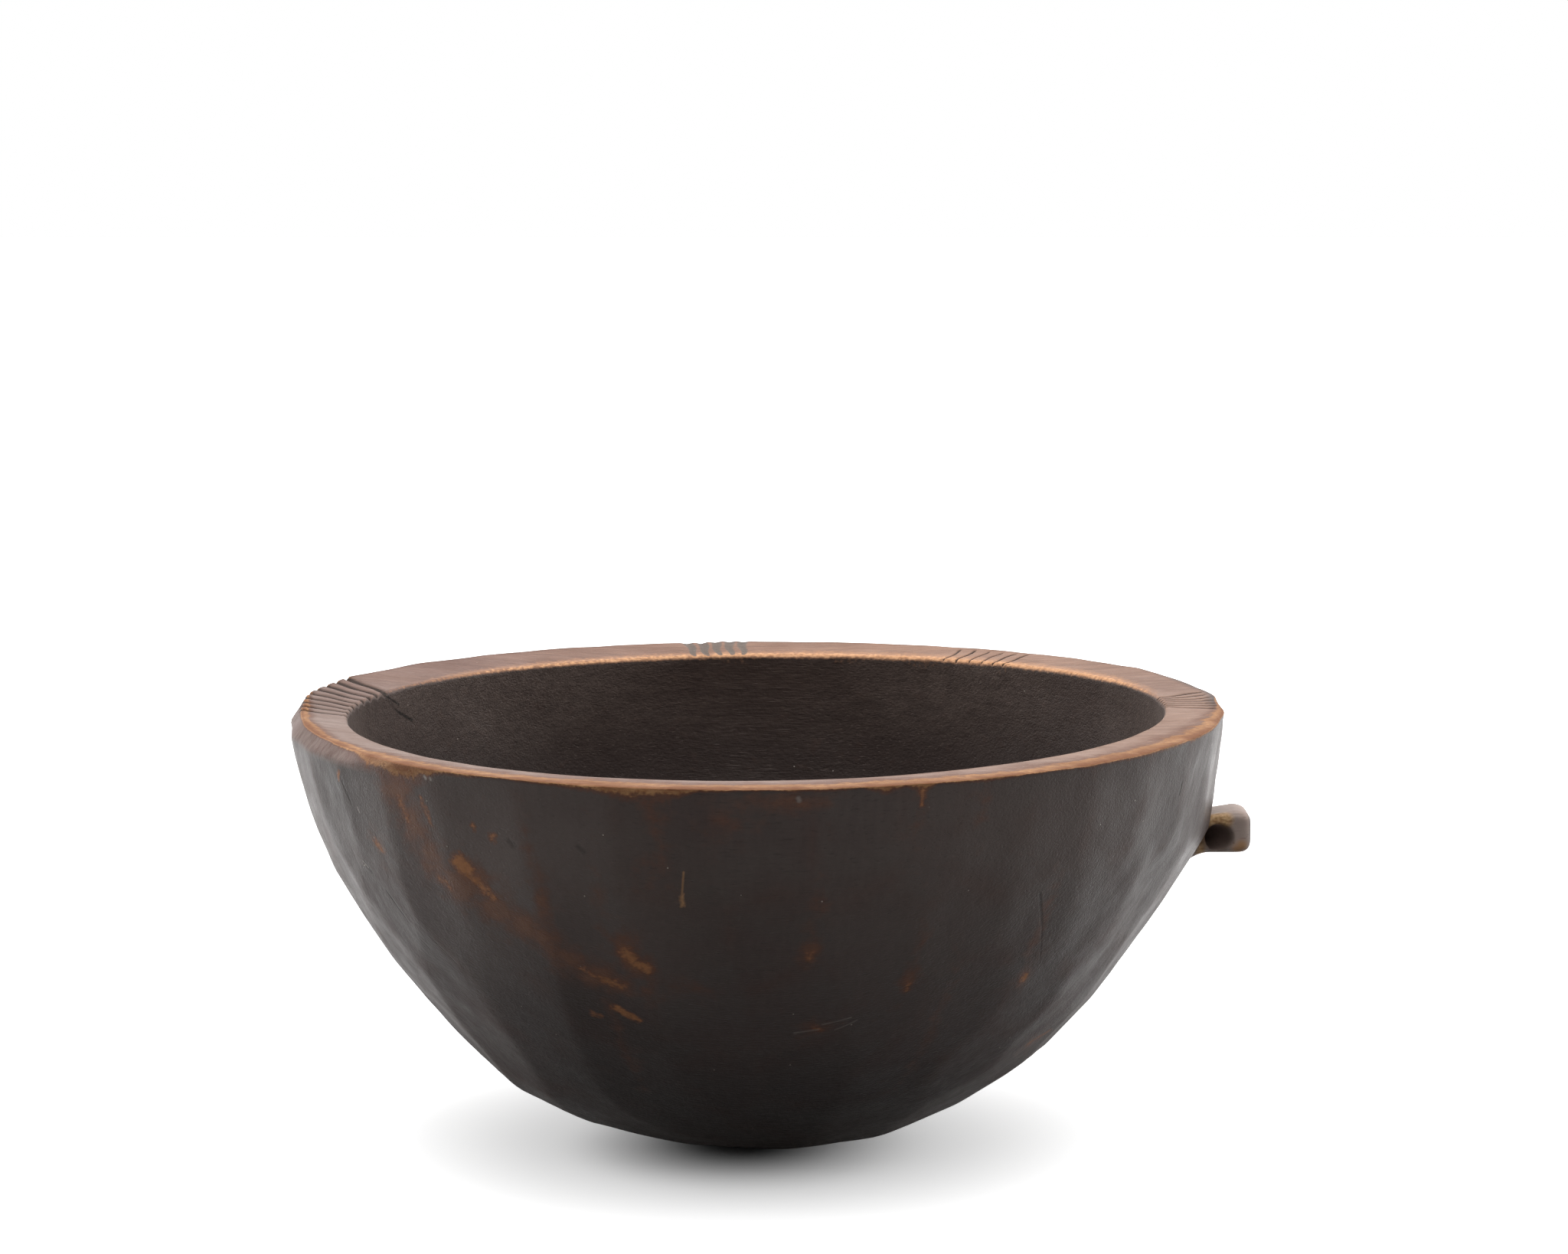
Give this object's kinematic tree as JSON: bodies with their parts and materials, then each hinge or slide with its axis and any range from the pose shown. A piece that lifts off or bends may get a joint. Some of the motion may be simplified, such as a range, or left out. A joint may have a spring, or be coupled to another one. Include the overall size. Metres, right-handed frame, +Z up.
{
  "type": "carved wooden bowl",
  "caption": "Small round-bottomed wooden bowl carved from one block, with flat adze cuts outside, a smooth hollow, knife-cut marks on a broad flat rim and a small pierced lug on the wall.",
  "frame": {"origin": "on the flat that the bowl stands on, under the middle of the rim", "axes": "+Z up, +X towards the hanging lug, -Y towards the side that the picture shows"},
  "size_m": [0.156, 0.1517, 0.0702],
  "materials": {
    "dark_wood": "hand-carved dark hardwood with an old handled polish, worn to tan on the edges",
    "lug_wood": "the same dark hardwood, with pale bare wood at the mouth of the hole"
  },
  "bodies": {
    "root": {"bowl": "dark_wood", "hanging_lug": "lug_wood"}
  },
  "joints": []
}
